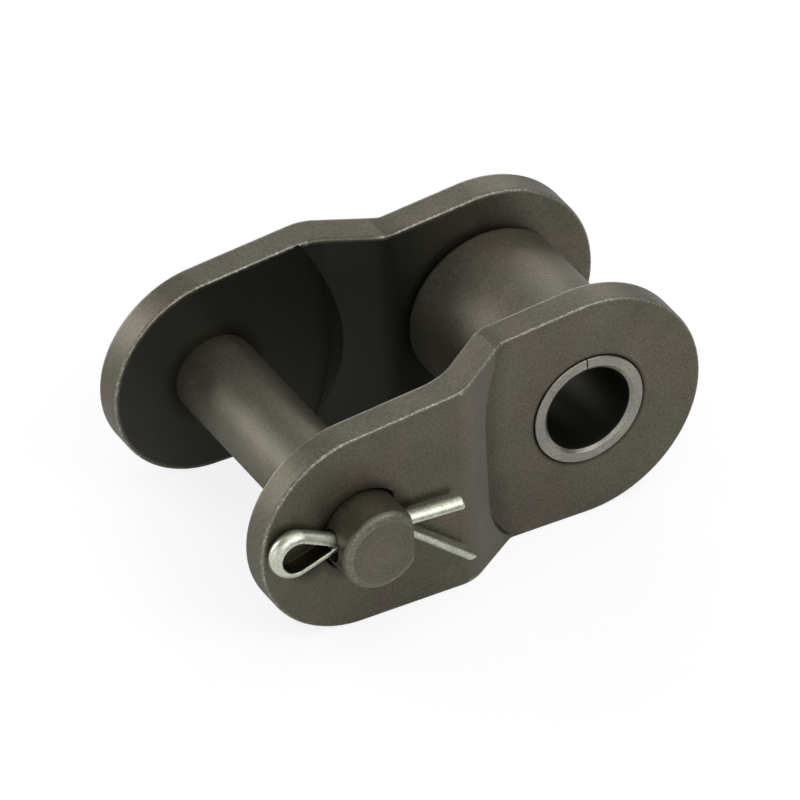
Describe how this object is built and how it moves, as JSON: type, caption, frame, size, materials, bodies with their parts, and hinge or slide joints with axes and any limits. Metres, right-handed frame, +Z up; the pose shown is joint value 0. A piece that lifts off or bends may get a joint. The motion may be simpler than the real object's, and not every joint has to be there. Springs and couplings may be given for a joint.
{
  "type": "offset chain link",
  "caption": "Offset link of a 12.7 mm pitch roller chain: cranked side plates with a bush and turning roller at one end and a pin locked by a split pin at the other.",
  "frame": {"origin": "middle of the bush bore, halfway between the side plates", "axes": "+Y along the bush bore and the pin, towards the plain plate; +X along the chain, from the pin to the bush; +Z up across the height of the plates"},
  "size_m": [0.0235, 0.0177, 0.0114],
  "materials": {
    "plate_steel": "heat-treated, tumbled, dark satin with worn edges",
    "bush_steel": "hardened, satin, bright at the ends",
    "roller_steel": "hardened, satin",
    "pin_steel": "turned and hardened, satin",
    "wire_zinc": "zinc-plated wire, semi-bright"
  },
  "bodies": {
    "link_frame": {"front_side_plate": "plate_steel", "rear_side_plate": "plate_steel", "bush": "bush_steel", "link_pin": "pin_steel", "split_pin": "wire_zinc"},
    "roller": {"roller": "roller_steel"}
  },
  "joints": [
    {"name": "roller_spin", "type": "hinge", "parent": "link_frame", "child": "roller", "pos_m": [0, 0, 0], "axis": [0, 1, 0], "continuous": true}
  ]
}
